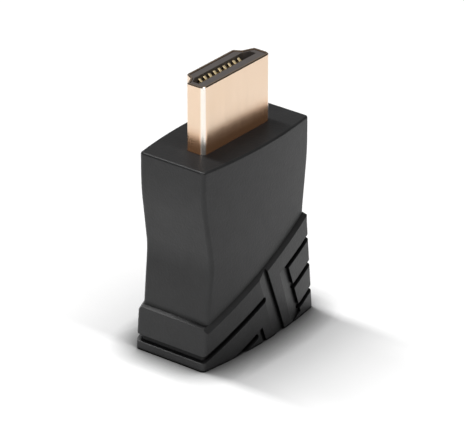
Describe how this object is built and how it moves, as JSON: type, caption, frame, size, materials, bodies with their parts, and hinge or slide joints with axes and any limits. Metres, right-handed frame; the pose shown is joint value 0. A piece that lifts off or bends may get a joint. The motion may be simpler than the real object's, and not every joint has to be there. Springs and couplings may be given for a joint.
{
  "type": "digital video plug to socket adapter",
  "caption": "Straight adapter with a flat gold-plated plug on top, a matching socket underneath and a waisted black moulded grip with raised slanting ribs between them.",
  "frame": {"origin": "middle of the base, in the plane on which the adapter stands on its socket end", "axes": "+X across the wide face, -Y out of the front, which is the connectors' wide side, +Z out of the plug"},
  "size_m": [0.0234, 0.0132, 0.0374],
  "materials": {
    "moulded_body": "black, finely textured satin moulding",
    "plug_shell_plate": "smooth pale gold plating, semi-bright",
    "socket_shell_plate": "smooth pale gold plating, semi-bright",
    "contact_plate": "bright gold plating",
    "insulator_plastic": "black moulded insulator",
    "board_laminate": "green board laminate",
    "tinplate": "plain tinned sheet"
  },
  "bodies": {
    "root": {"outer_body": "moulded_body", "plug_shell": "plug_shell_plate", "plug_insulator": "insulator_plastic", "plug_carrier": "insulator_plastic", "plug_contact_wide_01": "contact_plate", "plug_contact_wide_02": "contact_plate", "plug_contact_wide_03": "contact_plate", "plug_contact_wide_04": "contact_plate", "plug_contact_wide_05": "contact_plate", "plug_contact_wide_06": "contact_plate", "plug_contact_wide_07": "contact_plate", "plug_contact_wide_08": "contact_plate", "plug_contact_wide_09": "contact_plate", "plug_contact_wide_10": "contact_plate", "plug_contact_narrow_01": "contact_plate", "plug_contact_narrow_02": "contact_plate", "plug_contact_narrow_03": "contact_plate", "plug_contact_narrow_04": "contact_plate", "plug_contact_narrow_05": "contact_plate", "plug_contact_narrow_06": "contact_plate", "plug_contact_narrow_07": "contact_plate", "plug_contact_narrow_08": "contact_plate", "plug_contact_narrow_09": "contact_plate", "circuit_board": "board_laminate", "shield_front": "tinplate", "shield_back": "tinplate", "socket_shell": "socket_shell_plate", "socket_insulator": "insulator_plastic", "socket_contact_wide_01": "contact_plate", "socket_contact_wide_02": "contact_plate", "socket_contact_wide_03": "contact_plate", "socket_contact_wide_04": "contact_plate", "socket_contact_wide_05": "contact_plate", "socket_contact_wide_06": "contact_plate", "socket_contact_wide_07": "contact_plate", "socket_contact_wide_08": "contact_plate", "socket_contact_wide_09": "contact_plate", "socket_contact_wide_10": "contact_plate", "socket_contact_narrow_01": "contact_plate", "socket_contact_narrow_02": "contact_plate", "socket_contact_narrow_03": "contact_plate", "socket_contact_narrow_04": "contact_plate", "socket_contact_narrow_05": "contact_plate", "socket_contact_narrow_06": "contact_plate", "socket_contact_narrow_07": "contact_plate", "socket_contact_narrow_08": "contact_plate", "socket_contact_narrow_09": "contact_plate"}
  },
  "joints": []
}
